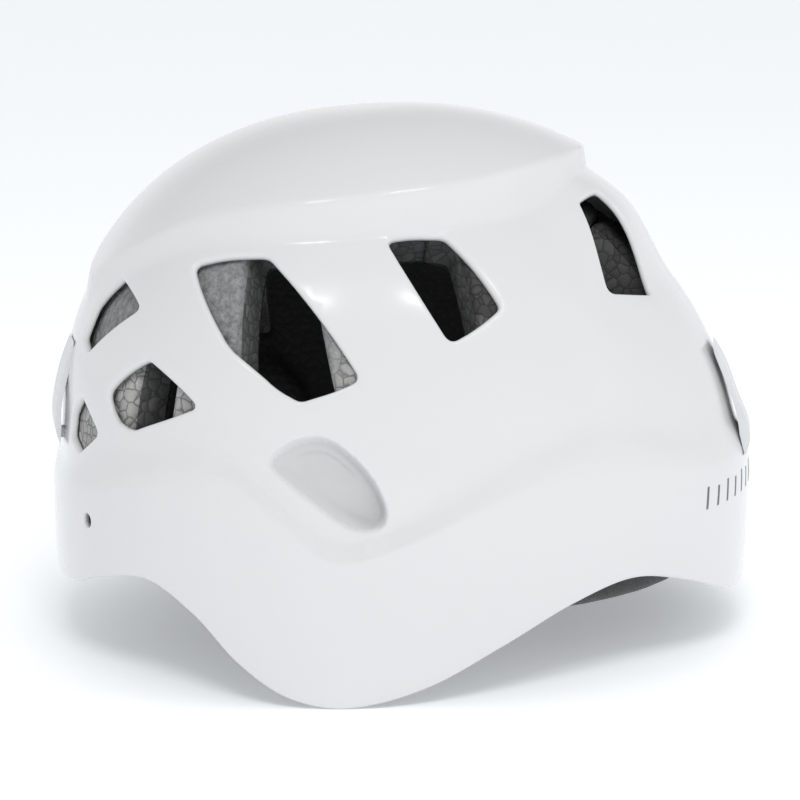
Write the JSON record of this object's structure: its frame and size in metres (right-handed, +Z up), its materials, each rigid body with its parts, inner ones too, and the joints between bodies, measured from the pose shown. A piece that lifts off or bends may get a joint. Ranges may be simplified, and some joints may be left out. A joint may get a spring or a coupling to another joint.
{
  "type": "climbing helmet",
  "caption": "Hard-shell climbing helmet with foam liners, adjustable fold-up nape band, buckled chin webbing and sprung headlamp clips.",
  "frame": {"origin": "on the standing surface, under the middle of the helmet's box; the side lobes of the rim stand on it", "axes": "+Z up, -Y is the front of the helmet, -X is the wearer's right"},
  "size_m": [0.2116, 0.2612, 0.1946],
  "materials": {
    "shell_abs": "glossy moulded white plastic",
    "bead_foam": "matt grey bead foam",
    "crown_foam": "matt dark foam",
    "pad_felt": "grey-brown brushed felt, stitched edges",
    "band_plastic": "satin black moulded plastic",
    "knob_plastic": "satin grey moulded plastic",
    "webbing": "woven polyester webbing",
    "buckle_plastic": "satin black acetal",
    "keeper_rubber": "soft black rubber",
    "clip_plastic": "greyish translucent nylon",
    "screw_steel": "zinc-plated steel"
  },
  "bodies": {
    "shell": {"outer_shell": "shell_abs", "side_liner_left": "bead_foam", "side_liner_right": "bead_foam", "crown_liner": "crown_foam", "crown_pad": "pad_felt", "headband_front": "band_plastic", "forehead_pad": "pad_felt", "temple_pivot_left": "knob_plastic", "temple_pivot_right": "knob_plastic", "front_strap_left": "webbing", "front_strap_right": "webbing", "rear_strap_left": "webbing", "rear_strap_right": "webbing", "front_anchor_left": "buckle_plastic", "front_anchor_right": "buckle_plastic", "rear_anchor_left": "buckle_plastic", "rear_anchor_right": "buckle_plastic", "buckle_socket": "buckle_plastic", "strap_keeper": "keeper_rubber"},
    "rear_band": {"headband_arm_left": "band_plastic", "headband_arm_right": "band_plastic"},
    "rack_right": {"size_rack_right": "band_plastic"},
    "rack_left": {"size_rack_left": "band_plastic"},
    "cradle": {"nape_cradle": "band_plastic", "housing_cover": "band_plastic", "housing_screws": "screw_steel", "nape_pad": "pad_felt"},
    "dial": {"dial_knob": "knob_plastic", "dial_pinion": "knob_plastic"},
    "buckle": {"buckle_tongue": "buckle_plastic", "chin_strap_tail": "webbing"},
    "adjuster_left": {"side_adjuster_left": "buckle_plastic"},
    "adjuster_right": {"side_adjuster_right": "buckle_plastic"},
    "clip_front_left": {"headlamp_clip_front_left": "clip_plastic"},
    "clip_front_right": {"headlamp_clip_front_right": "clip_plastic"},
    "clip_rear": {"headlamp_clip_rear": "clip_plastic"}
  },
  "joints": [
    {"name": "band_swing", "type": "hinge", "parent": "shell", "child": "rear_band", "pos_m": [0, -0.014, 0.056], "axis": [-1, 0, 0], "range_deg": [0, 32]},
    {"name": "size_slide", "type": "slide", "parent": "rear_band", "child": "cradle", "axis": [0, -1, 0], "range_m": [0, 0.018]},
    {"name": "rack_right_draw", "type": "slide", "parent": "rear_band", "child": "rack_right", "axis": [0.7071, -0.7071, 0], "range_m": [0, 0.0256]},
    {"name": "rack_left_draw", "type": "slide", "parent": "rear_band", "child": "rack_left", "axis": [-0.7071, -0.7071, 0], "range_m": [0, 0.0256]},
    {"name": "dial_turn", "type": "hinge", "parent": "cradle", "child": "dial", "pos_m": [0, 0.09, 0.056], "axis": [0, 1, 0], "range_deg": [0, 259]},
    {"name": "buckle_release", "type": "slide", "parent": "shell", "child": "buckle", "axis": [1, 0, 0], "range_m": [0, 0.016]},
    {"name": "adjuster_right_slide", "type": "slide", "parent": "shell", "child": "adjuster_right", "axis": [1, 0, 0], "range_m": [-0.0015, 0.006]},
    {"name": "adjuster_left_slide", "type": "slide", "parent": "shell", "child": "adjuster_left", "axis": [-1, 0, 0], "range_m": [-0.0015, 0.006]},
    {"name": "clip_flex_front_left", "type": "hinge", "parent": "shell", "child": "clip_front_left", "pos_m": [0.04485, -0.12102, 0.072], "axis": [0.9397, 0.342, 0], "range_deg": [0, 10], "stiffness_Nm_per_rad": 0.4},
    {"name": "clip_flex_front_right", "type": "hinge", "parent": "shell", "child": "clip_front_right", "pos_m": [-0.04485, -0.12102, 0.072], "axis": [0.9397, -0.342, 0], "range_deg": [0, 10], "stiffness_Nm_per_rad": 0.4},
    {"name": "clip_flex_rear", "type": "hinge", "parent": "shell", "child": "clip_rear", "pos_m": [0, 0.12764, 0.078], "axis": [-1, 0, 0], "range_deg": [0, 10], "stiffness_Nm_per_rad": 0.4}
  ],
  "couplings": [
    {"joint": "rack_right_draw", "follows": "size_slide", "ratio": 1.4142},
    {"joint": "rack_left_draw", "follows": "size_slide", "ratio": 1.4142},
    {"joint": "dial_turn", "follows": "size_slide", "rad_per_m": 250}
  ]
}
